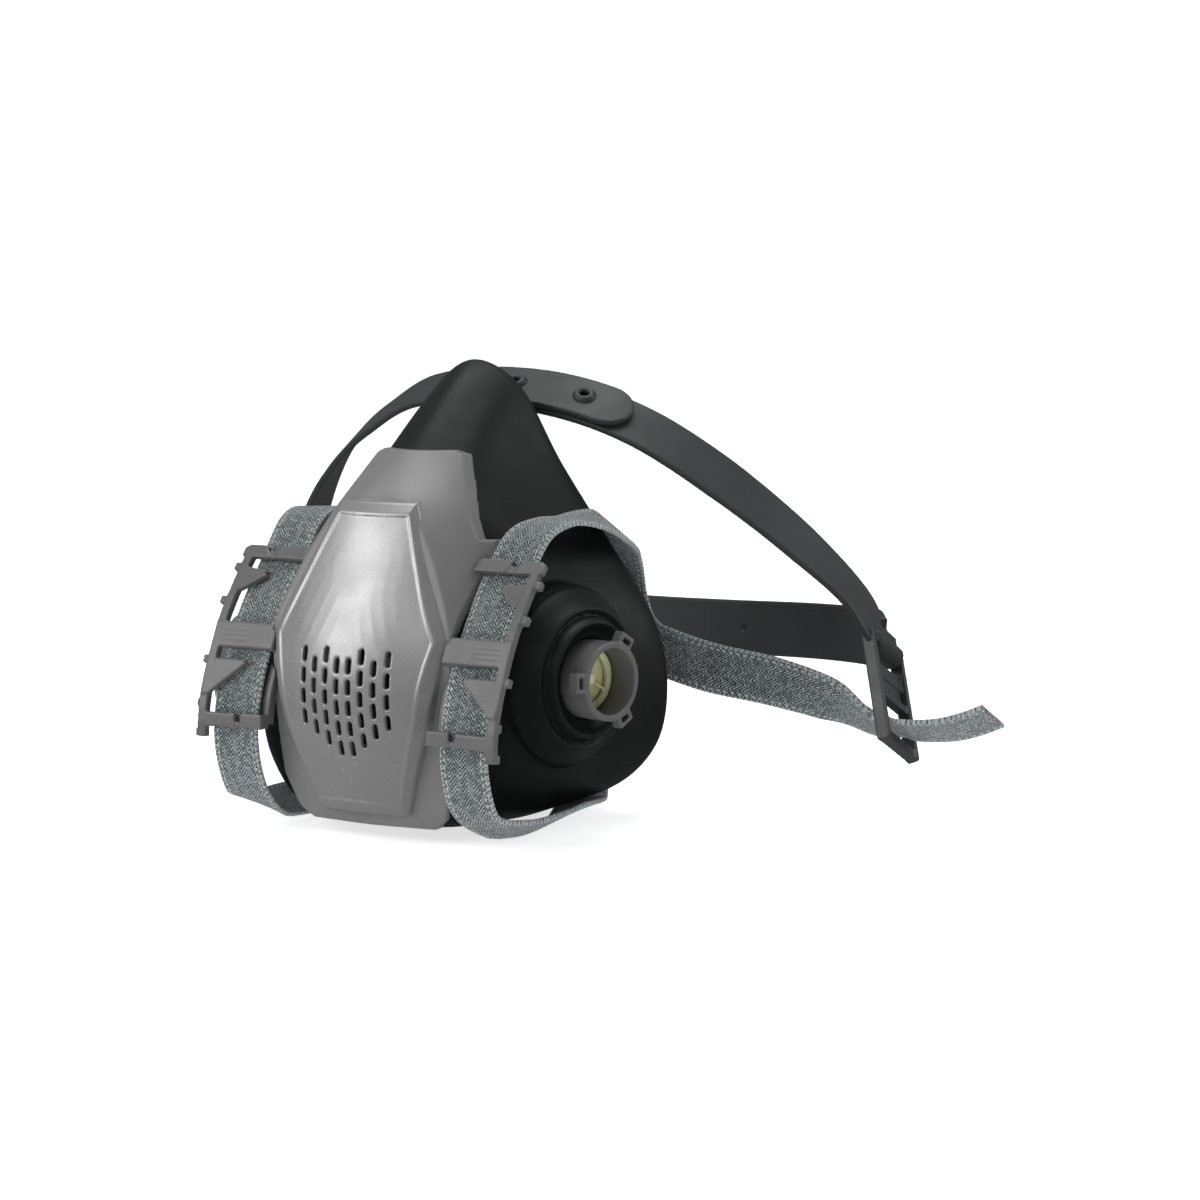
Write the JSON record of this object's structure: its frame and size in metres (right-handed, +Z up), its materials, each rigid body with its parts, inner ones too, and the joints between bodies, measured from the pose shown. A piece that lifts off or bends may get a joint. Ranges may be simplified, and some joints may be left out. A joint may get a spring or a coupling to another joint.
{
  "type": "half mask respirator",
  "caption": "Reusable half mask respirator with a rubber facepiece, slotted front shield, side filter ports and an adjustable head harness.",
  "frame": {"origin": "middle of the bounding box in plan, at the height of the lowest point", "axes": "+X to the wearer's left, +Y from the front of the mask back towards the head, +Z up; the valve shield faces -Y"},
  "size_m": [0.3008, 0.1986, 0.1448],
  "materials": {
    "silicone": "satin",
    "cradle": "satin",
    "plastic": "satin",
    "valve_seat": "satin",
    "shield": "satin, with a metallic tint",
    "webbing": "woven",
    "buckle": "satin",
    "flap": "satin",
    "gasket": "matte"
  },
  "bodies": {
    "mask": {"facepiece": "silicone", "yoke": "plastic", "valve_shield": "shield", "exhalation_seat": "plastic", "left_strap_frame": "plastic", "right_strap_frame": "plastic", "left_bayonet_port": "plastic", "right_bayonet_port": "plastic", "left_port_gasket": "gasket", "right_port_gasket": "gasket", "left_port_retainer": "plastic", "right_port_retainer": "plastic", "left_inhalation_seat": "valve_seat", "right_inhalation_seat": "valve_seat", "left_mask_webbing": "webbing", "right_mask_webbing": "webbing", "neck_clasp_hook": "buckle", "neck_clasp_loop": "buckle"},
    "exhalation_flap": {"exhalation_flap": "gasket"},
    "left_inhalation_flap": {"left_inhalation_flap": "flap"},
    "right_inhalation_flap": {"right_inhalation_flap": "flap"},
    "harness": {"left_cradle_webbing": "webbing", "right_cradle_webbing": "webbing", "left_cradle_corner": "cradle", "right_cradle_corner": "cradle", "crown_band_upper": "cradle", "crown_band_lower": "cradle", "rear_band": "cradle", "crown_stud_1": "cradle", "crown_stud_2": "cradle"},
    "left_buckle": {"left_adjuster_buckle": "buckle", "left_webbing_tail": "webbing"},
    "right_buckle": {"right_adjuster_buckle": "buckle", "right_webbing_tail": "webbing"}
  },
  "joints": [
    {"name": "exhalation_lift", "type": "slide", "parent": "mask", "child": "exhalation_flap", "axis": [0, -1, 0], "range_m": [0, 0.0015], "stiffness_N_per_m": 5},
    {"name": "left_inhalation_lift", "type": "slide", "parent": "mask", "child": "left_inhalation_flap", "axis": [-0.9798, 0.2, 0], "range_m": [0, 0.0015], "stiffness_N_per_m": 5},
    {"name": "right_inhalation_lift", "type": "slide", "parent": "mask", "child": "right_inhalation_flap", "axis": [0.9798, 0.2, 0], "range_m": [0, 0.0015], "stiffness_N_per_m": 5},
    {"name": "harness_swing", "type": "hinge", "parent": "mask", "child": "harness", "pos_m": [-0.00935, 0.01062, 0.04941], "axis": [1, 0, 0], "range_deg": [-12, 3]},
    {"name": "left_buckle_pivot", "type": "hinge", "parent": "harness", "child": "left_buckle", "pos_m": [0.10515, 0.04322, 0.05001], "axis": [0.0998, 0.8607, -0.4992], "range_deg": [-8, 4]},
    {"name": "right_buckle_pivot", "type": "hinge", "parent": "harness", "child": "right_buckle", "pos_m": [-0.12385, 0.04322, 0.05001], "axis": [0.0998, -0.8607, 0.4992], "range_deg": [-8, 4]}
  ]
}
